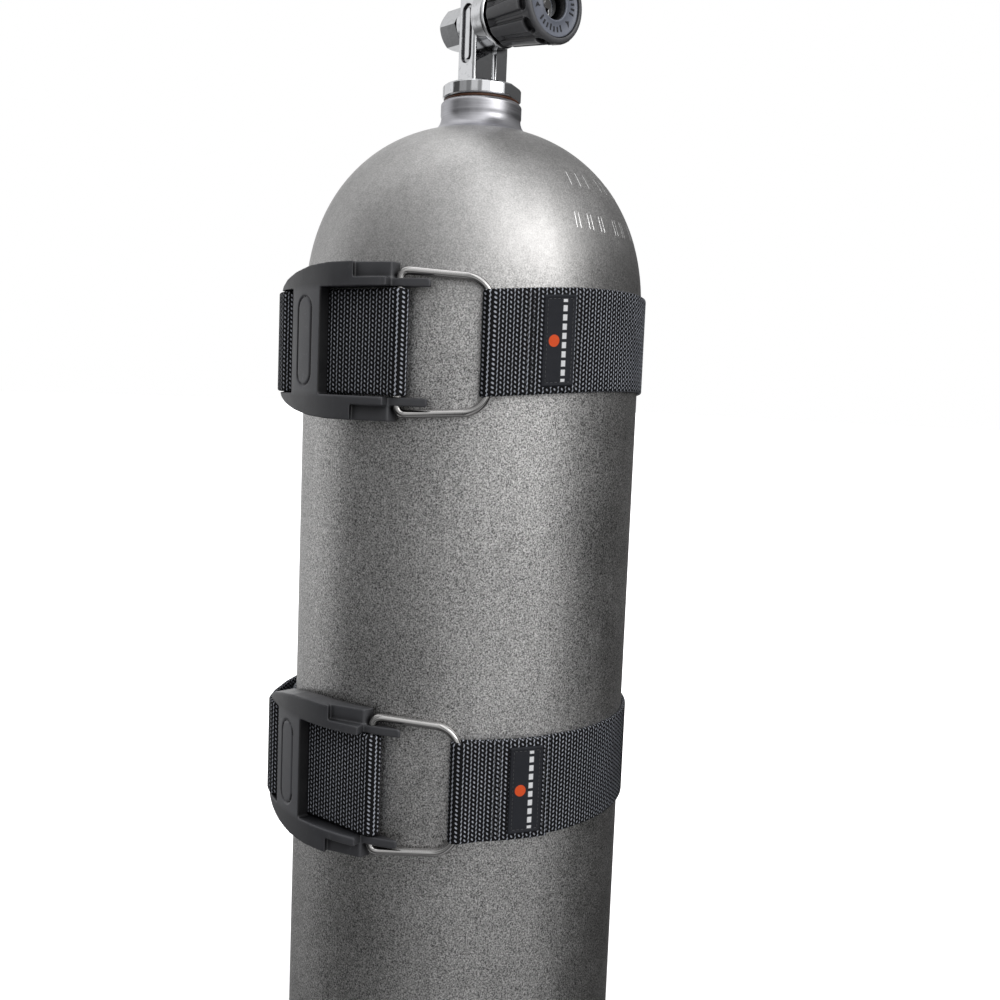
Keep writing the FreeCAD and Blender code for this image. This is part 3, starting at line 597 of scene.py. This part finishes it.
def make_knob():
    """Rubber grip: rounded lobes with flat strips sunk between them, and a front collar with pockets."""
    back, collar, collar_end, front = 17.6, 47.2, 52.0, 54.0
    back_radius, rim, bore = 15.7, 20.2, 14.65
    pocket_x = 48.8
    lobes = 10
    first_lobe = 190.0
    around = 480
    angles = np.arange(around) * 2 * np.pi / around
    period = 360 / lobes
    from_lobe = (np.degrees(angles) - first_lobe + period / 2) % period - period / 2
    away = np.abs(from_lobe)

    def smooth(value, low, high):
        t = np.clip((value - low) / (high - low), 0, 1)
        return t * t * (3 - 2 * t)

    rows = []
    for x in np.concatenate([np.linspace(back, 45.0, 32), np.linspace(45.3, collar_end, 40)]):
        cone = back_radius + (rim - back_radius) * (x - back) / (collar_end - back)
        body = 1 - smooth(x, collar - 0.5, collar)
        crown = 0.35 * (away / 10.5) ** 2 * body
        strip = (1.35 * smooth(away, 9.7, 11.3) - 0.5 * smooth(away, 11.8, 16.0)) * body
        line = 0.75 * math.exp(-((x - collar + 0.5) / 0.4) ** 2)
        along = np.radians(away) * cone
        reach = np.hypot(np.maximum(along - 2.2, 0), 0.8 * (x - pocket_x))
        pocket = 2.4 * (1 - smooth(reach, 1.9, 2.3))
        lip = 0.3 * np.exp(-((reach - 2.75) / 0.35) ** 2)
        edge = 0.5 * (1 - smooth(x, back, back + 1.0))
        rows.append((x, cone - np.maximum(np.maximum(strip, pocket), line) - crown + lip - edge))
    for x, r in ((52.7, rim - 0.08), (53.3, rim - 0.4), (53.75, rim - 0.95), (53.97, rim - 1.6),
                 (front, rim - 2.2), (53.9, 17.55), (53.5, 17.32), (51.6, 17.3), (51.5, 17.2),
                 (51.5, bore + 0.05), (51.4, bore), (back + 0.1, bore), (back, bore + 0.05)):
        rows.append((x, np.full(around, r)))
    grip = turned_piece("handwheel_grip", rows, angles, "rubber")
    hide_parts("knob_grip")


def make_face_ring():
    """Grey front ring with two raised lips, plain ticks and three bare arrow heads."""
    profile = [(51.5, 8.6), (52.7, 8.6), (52.95, 8.8), (53.0, 9.1), (53.0, 9.7), (52.8, 9.95), (52.8, 15.9),
               (53.0, 16.15), (53.0, 16.8), (52.9, 17.1), (52.6, 17.2), (51.5, 17.2)]
    angles = np.arange(128) * 2 * np.pi / 128
    ring = turned_piece("handwheel_face_ring", profile, angles, "face")
    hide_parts("knob_face_ring")
    points, faces = [], []

    def plate(corners):
        """Low raised plate from (radius, angle) corners on the ring's face."""
        start = len(points)
        for x in (52.75, 53.0):
            for r, angle in corners:
                a = math.radians(angle)
                points.append((x, r * math.cos(a), stem_axis_z + r * math.sin(a)))
        n = len(corners)
        faces.append(tuple(range(start + n, start + 2 * n)))
        for i in range(n):
            j = (i + 1) % n
            faces.append((start + i, start + j, start + n + j, start + n + i))

    for centre in (20, 140, 260):
        for k in range(7):
            middle = centre + 11 * (k - 3)
            inner = 11.3 if k % 3 == 0 else 12.0
            plate([(inner, middle - 2.0), (14.4, middle - 1.7), (14.4, middle + 1.7), (inner, middle + 2.0)])
    for tip, turn in ((80, 1), (200, -1), (320, 1)):
        plate([(12.9, tip + 7 * turn), (14.6, tip - 3 * turn), (12.9, tip - 0.5 * turn),
               (11.2, tip - 3 * turn)])
    make_piece("handwheel_face_marks", points, faces, "tick", "handwheel", smooth=False)


# ---- webbing ----
column_pitch = 2.04
stitch_pitch = 2.22
# Share of the band's length that stays on the cylinder. The rest, up to the cam bar, which lifts with the
# bail on the real band, is made as a separate piece.
hinge_share = 0.876


def strap_section():
    """Outline of the webbing's section as (across, thickness) pairs, with soft rounded edges."""
    flat = half_band - half_webbing * 0.9
    top = [(z, half_webbing) for z in np.linspace(-flat, flat, 15)]
    right = [(flat + 0.9 * half_webbing * math.sin(a), half_webbing * math.cos(a))
             for a in np.linspace(0, math.pi, 8)[1:-1]]
    bottom = [(-z, -half_webbing) for z, _ in top]
    left = [(-z, -t) for z, t in right]
    return top + right + bottom + left


def make_strap(name, path, band_z, leg_azimuth, phase=0.0, rise=0.0, first=0.0, last=1.0):
    """Webbing whose middle line follows a flat path, with slightly uneven edges.

    Only the stretch between the shares first and last of the path is made.
    """
    path = resample(path, 0.55)
    tangent = np.gradient(path, axis=0)
    tangent /= np.linalg.norm(tangent, axis=1)[:, None]
    normal = np.stack([tangent[:, 1], -tangent[:, 0]], -1)
    run = np.concatenate([[0], np.cumsum(np.linalg.norm(np.diff(path, axis=0), axis=1))])
    section = np.array(strap_section())
    across, thick = section[:, 0], section[:, 1]
    picks = 0.07 * np.sin(2 * np.pi * run / column_pitch)
    drift = 0.10 * np.sin(run / 17.0 + phase) + 0.06 * np.sin(run / 6.1 + 2 * phase)
    edge = np.abs(across) / half_band
    z = across[None, :] * (1 + picks[:, None] * edge ** 6 / half_band)
    z = z + drift[:, None] * edge ** 2 * np.sign(across)
    lift = thick[None, :] * (1 + 0.03 * np.sin(2 * np.pi * run / column_pitch)[:, None])
    flat = path[:, None, :] + normal[:, None, :] * lift[:, :, None]
    kept = slice(round(first * (len(path) - 1)), round(last * (len(path) - 1)) + 1)
    points = np.concatenate([flat, z[:, :, None]], -1)[kept]
    rows, count = points.shape[:2]
    points = points.reshape(-1, 3)
    faces = grid_faces(rows, count, False, True)
    faces.append(tuple(range(count)))
    faces.append(tuple(range((rows - 1) * count, rows * count))[::-1])
    wide = across[None, :] + 0 * run[:, None]
    columns = (run / column_pitch + phase)[:, None] + 0 * wide
    uv = np.stack([columns, wide / stitch_pitch], -1)[kept].reshape(-1, 2)
    points = place_on_band(risen(points, rise), leg_azimuth, band_z)
    return make_piece(name, points, faces, "webbing", None, uv)


def band_path():
    """Middle line of the webbing from its sewn end, round the bail leg and the cylinder, to the cam bar."""
    leg = polar(leg_radius, 0)
    path = [polar(outer_layer_radius, a) for a in np.linspace(loop_end_angle, 7.5, 40)]
    path += list(np.linspace(polar(outer_layer_radius, 7.0), leg + np.array([wrap_radius, 1.0]), 14)[1:])
    path = list(relaxed(resample(path, 0.5), 14))
    path += arc_points(leg, wrap_radius, 360, 180)
    leaves_at = 322.0
    path += [polar(inner_layer_radius, a) for a in np.arange(0.6, leaves_at, 0.4)]
    to_cam_bar = ((inner_layer_radius, leaves_at), (93.45, 326.0), (94.2, 330.0), (94.75, 333.2))
    ending = [polar(*place) for place in to_cam_bar]
    path += list(relaxed(resample(ending, 0.5), 8))[1:]
    return path


def tail_path():
    """Middle line from the cam bar through the window and the slot and back round the cylinder."""
    under_crossbar, on_band = 98.75, 97.8
    over_last_bar = ((106.2, -70.6), (106.25, -73.0), (106.2, -76.0), (103.1, -84.0), (99.6, -95.0),
                     (97.95, -105.0))
    pivot = polar(pivot_radius, pivot_angle)
    path = arc_points(pivot, wrap_radius, pivot_angle + 178, pivot_angle)
    run = [polar(pivot_radius + wrap_radius, pivot_angle), polar(under_crossbar, -49)]
    run += [polar(under_crossbar, a) for a in np.arange(-50, -65, -1.0)]
    run += [polar(*place) for place in over_last_bar]
    run += [polar(on_band, a) for a in np.arange(-107, -150.1, -1.0)]
    path += list(relaxed(resample(run, 0.5), 9))[1:]
    return path


def row_of_stitches(points, faces, start, end, lift, length, gap, radius):
    """Short threads between two (angle, height) places on the band, drawn as flattened beads."""
    first = np.array(start, float)
    last = np.array(end, float)
    arc = np.array([math.radians(last[0] - first[0]) * lift, last[1] - first[1]])
    total = np.linalg.norm(arc)
    count = max(1, int(total / (length + gap)))
    direction = arc / total
    side = np.array([-direction[1], direction[0]])
    for k in range(count):
        middle = (k + 0.5) * total / count
        begin = len(points)
        for share in (-1.0, -0.8, -0.3, 0.3, 0.8, 1.0):
            swell = math.sqrt(max(0.02, 1 - share ** 4))
            for a in np.arange(6) * math.pi / 3:
                offset = direction * (middle + share * length / 2) + side * radius * swell * math.cos(a)
                angle = first[0] + math.degrees(offset[0] / lift)
                flat = polar(lift + radius * (swell * math.sin(a) - 0.25 * share ** 2), angle)
                points.append((flat[0], flat[1], first[1] + offset[1]))
        faces.extend(grid_faces(6, 6, False, True, begin))
        faces.append(tuple(range(begin, begin + 6))[::-1])
        faces.append(tuple(range(begin + 30, begin + 36)))


def make_label(name, band_z, leg_azimuth, rise):
    """Woven patch with a rolled hem and a line of stitches just inside it."""
    low, high = label_angles
    base = label_base_radius
    columns, rows = 41, 81
    points, uv = [], []
    for i in range(rows):
        z = -label_half_height + 2 * label_half_height * i / (rows - 1)
        for j in range(columns):
            share = j / (columns - 1)
            angle = low + (high - low) * share
            inset = min(share, 1 - share) * label_width
            inset = min(inset, label_half_height - abs(z))
            hem = 0.30 * math.exp(-((inset - 0.8) / 0.55) ** 2)
            seam = -0.16 * math.exp(-((inset - 2.0) / 0.35) ** 2)
            drop = -0.62 * math.exp(-(inset / 0.28) ** 2)
            flat = polar(base + 0.68 + hem + seam + drop, angle)
            points.append((flat[0], flat[1], z))
            uv.append((share, i / (rows - 1)))
    front = len(points)
    for i in range(rows):
        z = -label_half_height + 2 * label_half_height * i / (rows - 1)
        for j in range(columns):
            flat = polar(base + 0.02, low + (high - low) * j / (columns - 1))
            points.append((flat[0], flat[1], z))
            uv.append((j / (columns - 1), i / (rows - 1)))
    faces = grid_faces(rows, columns)
    faces += [f[::-1] for f in grid_faces(rows, columns, start=front)]
    edge = [j for j in range(columns)] + [i * columns + columns - 1 for i in range(1, rows)]
    edge += [(rows - 1) * columns + j for j in range(columns - 2, -1, -1)]
    edge += [i * columns for i in range(rows - 2, 0, -1)]
    for a, b in zip(edge, edge[1:] + edge[:1]):
        faces.append((b, a, front + a, front + b))
    points = place_on_band(risen(points, rise), leg_azimuth, band_z)
    patch = make_piece(name + "_label_patch", points, faces, "label", "root", uv)
    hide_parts(name + "_label")
    points, faces = [], []
    left, right = low + 1.15, high - 1.15
    tall = label_half_height - 2.0
    for start, end in (((left, -tall), (left, tall)), ((right, -tall), (right, tall)),
                       ((left, -tall), (right, -tall)), ((left, tall), (right, tall))):
        row_of_stitches(points, faces, start, end, base + 0.62, 1.5, 0.6, 0.17)
    band_seam_half = 23.6
    for angle in (26.4, 10.6, 12.2):
        row_of_stitches(points, faces, (angle, -band_seam_half), (angle, band_seam_half), 97.0, 2.2, 0.9, 0.3)
    points = place_on_band(risen(points, rise), leg_azimuth, band_z)
    make_piece(name + "_stitches", points, faces, "thread", "root")


# ---- bail and buckle ----
def make_bail(name, band_z, leg_azimuth):
    """Round wire U with its ends turned in, drawn as (distance from the leg, height) corners."""
    leg = np.append(polar(leg_radius, 0), 0)
    pivot = np.append(polar(pivot_radius, pivot_angle), 0)
    along = pivot - leg
    length = np.linalg.norm(along)
    along /= length
    half, end_corner, depth = 34.0, 3.6, 6.8
    leg_side, corner = 32.2, 12.5
    flat = [(length, -half + depth), (length, -half + end_corner)]
    for centre, radius, start in (((length - end_corner, -half + end_corner), end_corner, 0),
                                  ((corner, -leg_side + corner), corner, -90),
                                  ((corner, leg_side - corner), corner, 180),
                                  ((length - end_corner, half - end_corner), end_corner, 90)):
        flat += arc_points(centre, radius, start, start - 90, 7.5)
    flat += [(length, half - depth)]
    path = relaxed(resample(np.array([leg + along * d + np.array([0, 0, z]) for d, z in flat]), 0.8), 4)
    tangent = np.gradient(path, axis=0)
    tangent /= np.linalg.norm(tangent, axis=1)[:, None]
    out = np.cross(along, np.array([0, 0, 1.0]))
    side = np.cross(tangent, out)
    sides = 20
    turn = np.arange(sides) * 2 * np.pi / sides
    around = np.cos(turn)[None, :, None] * out + np.sin(turn)[None, :, None] * side[:, None, :]
    points = (path[:, None, :] + wire_radius * around).reshape(-1, 3)
    faces = grid_faces(len(path), sides, False, True)
    faces.append(tuple(range(sides))[::-1])
    faces.append(tuple(range((len(path) - 1) * sides, len(path) * sides)))
    bail = make_piece(name + "_wire_bail", place_on_band(points, leg_azimuth, band_z), faces,
                      "steel", name + "_bail")
    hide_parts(name + "_bail")


def make_buckle(name, band_z, leg_azimuth):
    """Moulded buckle: the CAD solid with all edges rounded and a thumb pad outlined on its crossbar.

    Painted light and shade: the crossbar's face is painted lighter and its wall towards the window is painted
    dark, as in shade.
    """
    source = nodes[name + "_buckle"]
    helper = bpy.data.objects.new("helper", source.data.copy())
    bpy.context.scene.collection.objects.link(helper)
    remesh = helper.modifiers.new("remesh", "REMESH")
    remesh.mode = "VOXEL"
    remesh.voxel_size = 0.42 * MM
    soften = helper.modifiers.new("soften", "SMOOTH")
    soften.factor = 0.5
    soften.iterations = 5
    bpy.context.view_layer.update()
    shaped = helper.evaluated_get(bpy.context.evaluated_depsgraph_get())
    mesh = bpy.data.meshes.new_from_object(shaped)
    bpy.data.objects.remove(helper)
    points = np.zeros(len(mesh.vertices) * 3, np.float32)
    mesh.vertices.foreach_get("co", points)
    points = points.reshape(-1, 3).astype(float)
    a = -math.radians(leg_azimuth - 90)
    local_x = points[:, 0] * math.cos(a) - points[:, 1] * math.sin(a)
    local_y = points[:, 0] * math.sin(a) + points[:, 1] * math.cos(a)
    radius = np.hypot(local_x, local_y) / MM
    angle = np.degrees(np.arctan2(local_y, local_x))
    across = np.radians(angle - pad_angle) * radius
    tall = points[:, 2] / MM - band_z
    pad_straight, pad_radius, groove_depth = 15.8, 6.2, 0.55
    oval = np.hypot(across, np.maximum(np.abs(tall) - pad_straight, 0)) - pad_radius
    groove = groove_depth * np.exp(-(oval / 0.5) ** 2)
    outer_face, crossbar_half = 105.2, 27.5
    outside = np.clip((radius - outer_face) / 0.6, 0, 1)
    shrink = 1 - groove * outside / radius
    points[:, :2] *= shrink[:, None]
    mesh.vertices.foreach_set("co", points.astype(np.float32).ravel())
    mesh.polygons.foreach_set("use_smooth", [True] * len(mesh.polygons))
    normals = np.zeros(len(mesh.vertices) * 3, np.float32)
    mesh.vertices.foreach_get("normal", normals)
    normals = normals.reshape(-1, 3)
    outward = np.stack([points[:, 0], points[:, 1]], -1)
    outward /= np.linalg.norm(outward, axis=1)[:, None]
    along = outward[:, 0] * normals[:, 1] - outward[:, 1] * normals[:, 0]
    # Shade values: painted light on the crossbar's face, painted shade on its wall towards the window, 0.8
    # elsewhere.
    crossbar = np.clip((crossbar_half - np.abs(tall)) / 3.0, 0, 1)
    wall = crossbar * np.clip((along - 0.35) / 0.35, 0, 1)
    face = crossbar * np.clip((radius - outer_face + 1.7) / 1.5, 0, 1) * (1 - wall)
    shade = 0.8 + 0.6 * face - 0.68 * wall
    mesh.attributes.new("shade", "FLOAT", "POINT").data.foreach_set("value", shade.astype(np.float32))
    mesh.materials.clear()
    mesh.materials.append(materials["buckle"])
    buckle = bpy.data.objects.new(name + "_cam_buckle", mesh)
    bpy.context.scene.collection.objects.link(buckle)
    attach(buckle, name + "_buckle")
    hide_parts(name + "_buckle")


def make_cam_band(name, band_z, leg_azimuth, rise):
    """Bail, buckle, label and webbing of one band, its webbing cut where it starts to lift with the bail."""
    make_bail(name, band_z, leg_azimuth)
    make_buckle(name, band_z, leg_azimuth)
    make_label(name, band_z, leg_azimuth, rise)
    weave_phase = 0.3 + band_z / 400
    band = make_strap(name + "_band_webbing", band_path(), band_z, leg_azimuth, weave_phase, rise,
                      last=hinge_share)
    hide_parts(name + "_band")
    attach(band, "root")
    end = make_strap(name + "_band_end", band_path(), band_z, leg_azimuth, weave_phase, rise,
                     first=hinge_share)
    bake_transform(end)
    tail = make_strap(name + "_tail_webbing", tail_path(), band_z, leg_azimuth, 1.1 + band_z / 300)
    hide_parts(name + "_strap_tail")
    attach(tail, name + "_buckle")


make_cylinder()
make_stamps()
make_knob()
make_face_ring()
for cam_band in cam_bands:
    make_cam_band(*cam_band)

# ---- materials of the parts shown as they are in the CAD model ----
finishes = {
    "aluminium_shell": "aluminium", "chrome": "chrome", "brass": "brass", "seal": "seal", "ptfe": "ptfe",
    "knob_plastic": "hub", "knob_rubber": "rubber", "knob_ring": "face", "steel": "steel",
    "webbing": "webbing", "label": "label", "hook_and_loop": "loop", "buckle_plastic": "buckle",
}
for node in nodes.values():
    for slot in node.material_slots:
        slot.material = materials[finishes[slot.material.name.split(".")[0]]]

# ---- floor, light and camera ----
def make_floor():
    """Wide pale floor that glows, a painted light that is weaker near the cylinder and brightens into the
    backdrop away from it.
    """
    s = Shader("pale_floor")
    coordinates = s.node("ShaderNodeTexCoord").outputs["Object"]
    away = s.node("ShaderNodeVectorMath", operation="LENGTH")
    s.put(coordinates, away.inputs[0])
    # The glow is painted light: its strength rises from 0.35 near the cylinder to 1 further out.
    s.set(Base_Color=s.mix(s.noise(400, 3, 0.5), (0.88, 0.88, 0.88), (0.92, 0.92, 0.92)), Roughness=0.9,
          Specular_IOR_Level=0.1, Emission_Color=(1, 1, 1),
          Emission_Strength=s.ramp(away.outputs["Value"], 0.15, 0.75, 0.35, 1.0))
    mesh = bpy.data.meshes.new("floor")
    side, z = 30.0, -0.0005
    corners = ((-side, -side, z), (side, -side, z), (side, side, z), (-side, side, z))
    mesh.from_pydata(corners, [], [(0, 1, 2, 3)])
    mesh.materials.append(s.material)
    floor = bpy.data.objects.new("floor", mesh)
    bpy.context.scene.collection.objects.link(floor)
    floor.visible_glossy = False
    floor.visible_diffuse = False


def direction(azimuth, elevation):
    """Unit vector towards a place in the surroundings; azimuth as for the parts."""
    a, e = math.radians(azimuth), math.radians(elevation)
    return Vector((math.sin(a) * math.cos(e), -math.cos(a) * math.cos(e), math.sin(e)))


# The studio's light: strength by azimuth, times strength by the sine of elevation, which has one curve for
# the left and one for the rest, plus a little from above. All are (place, strength) stops.
light_around = (
    (-180, 0.06), (-142, 0.06), (-139, 1.05), (-108, 1.05), (-105, 0.45), (-97, 0.45), (-94, 0.88),
    (-47, 0.88), (-44, 0.03), (-22, 0.03), (-20, 0.28), (0, 0.28), (3, 0.16), (15, 0.16), (18, 0.55),
    (34, 0.55), (37, 0.25), (46, 0.25), (49, 0.90), (72, 0.90), (75, 0.42), (84, 0.42), (87, 0.95),
    (114, 0.95), (118, 0.05), (180, 0.05))
light_upwards = (
    (-1.0, 0.6), (-0.75, 0.5), (-0.5, 0.18), (-0.4, 0.26), (-0.25, 0.70), (-0.12, 0.97), (0.0, 1.03),
    (0.3, 1.05), (0.7, 1.45), (1.0, 1.90))
light_upwards_left = (
    (-1.0, 0.6), (-0.75, 0.5), (-0.5, 0.12), (-0.4, 0.18), (-0.25, 0.72), (-0.12, 1.0), (0.0, 1.03),
    (0.2, 0.80), (0.7, 0.45), (0.9, 1.2), (1.0, 1.90))
light_above = ((-1.0, 0.0), (0.15, 0.0), (0.5, 0.16), (0.8, 0.26), (1.0, 0.4))
# Azimuths between which the left curve gives way to the other one.
left_ends, right_begins = math.radians(-70), math.radians(10)


def make_surroundings():
    """Soft studio: white backdrop for the eye, graded light and dark zones for the light."""
    world = bpy.data.worlds.new("studio")
    bpy.context.scene.world = world
    world.use_nodes = True
    tree = world.node_tree
    tree.nodes.clear()

    def node(kind, *values, **settings):
        """New node with its first inputs connected or set; None leaves one as it is."""
        made = tree.nodes.new(kind)
        for key, value in settings.items():
            setattr(made, key, value)
        for value, socket in zip(values, made.inputs):
            if isinstance(value, bpy.types.NodeSocket):
                tree.links.new(value, socket)
            elif value is not None:
                socket.default_value = value
        return made

    def combined(operation, first, second):
        return node("ShaderNodeMath", first, second, operation=operation).outputs[0]

    def curve(value, low, high, stops):
        """Grey level read from stops, for a value between low and high."""
        ramp = node("ShaderNodeValToRGB", node("ShaderNodeMapRange", value, low, high).outputs[0])
        elements = ramp.color_ramp.elements
        for at, level in stops:
            position = (at - stops[0][0]) / (stops[-1][0] - stops[0][0])
            element = elements[-round(position)] if position in (0.0, 1.0) else elements.new(position)
            element.color = (level, level, level, 1)
        return ramp.outputs[0]

    x, y, z = node("ShaderNodeSeparateXYZ", node("ShaderNodeTexCoord").outputs["Generated"]).outputs
    azimuth = combined("ARCTAN2", x, combined("MULTIPLY", y, -1.0))
    around = curve(azimuth, -math.pi, math.pi, light_around)
    upwards = curve(z, -1.0, 1.0, light_upwards)
    upwards_left = curve(z, -1.0, 1.0, light_upwards_left)
    share = node("ShaderNodeMapRange", azimuth, left_ends, right_begins).outputs[0]
    by_height = node("ShaderNodeMix", share, None, upwards_left, upwards, data_type="FLOAT").outputs[0]
    strength = combined("ADD", combined("MULTIPLY", around, by_height), curve(z, -1.0, 1.0, light_above))
    white = (1, 1, 1, 1)
    light = node("ShaderNodeBackground", white, strength)
    seen = node("ShaderNodeBackground", white)
    to_camera = node("ShaderNodeLightPath").outputs["Is Camera Ray"]
    mix = node("ShaderNodeMixShader", to_camera, light.outputs[0], seen.outputs[0])
    node("ShaderNodeOutputWorld", mix.outputs[0])


def add_light(name, azimuth, elevation, distance, width, height, power, colour):
    """Soft box that points at the cylinder a little above its middle; metres, degrees and watts."""
    lamp = bpy.data.lights.new(name, "AREA")
    lamp.shape = "RECTANGLE"
    lamp.size = width
    lamp.size_y = height
    lamp.energy = power
    lamp.color = colour
    box = bpy.data.objects.new(name, lamp)
    bpy.context.scene.collection.objects.link(box)
    target = Vector((0, 0, 0.42))
    box.location = target + direction(azimuth, elevation) * distance
    box.rotation_euler = (target - box.location).to_track_quat("-Z", "Y").to_euler()
    box.visible_camera = False


def make_camera():
    """Eye level with the upper band, a little to the right of the buckles, as fitted to the photo."""
    camera = bpy.data.cameras.new("camera")
    camera.lens = 40.716
    camera.sensor_width = 36.0
    camera.clip_end = 100.0
    holder = bpy.data.objects.new("camera", camera)
    bpy.context.scene.collection.objects.link(holder)
    eye = Vector((0.4722, -0.4252, 0.5072))
    forward = Vector((-0.7198, 0.6878, -0.0945)).normalized()
    up = Vector((-0.0961, 0.0362, 0.9947))
    right = forward.cross(up).normalized()
    up = right.cross(forward)
    holder.matrix_world = Matrix(((right.x, up.x, -forward.x, eye.x),
                                  (right.y, up.y, -forward.y, eye.y),
                                  (right.z, up.z, -forward.z, eye.z),
                                  (0, 0, 0, 1)))
    bpy.context.scene.camera = holder


make_floor()
make_surroundings()
add_light("key", azimuth=91, elevation=31, distance=1.9, width=1.15, height=1.0, power=8.9,
          colour=(1.0, 0.99, 0.97))
make_camera()
bpy.context.scene.view_settings.view_transform = "Standard"
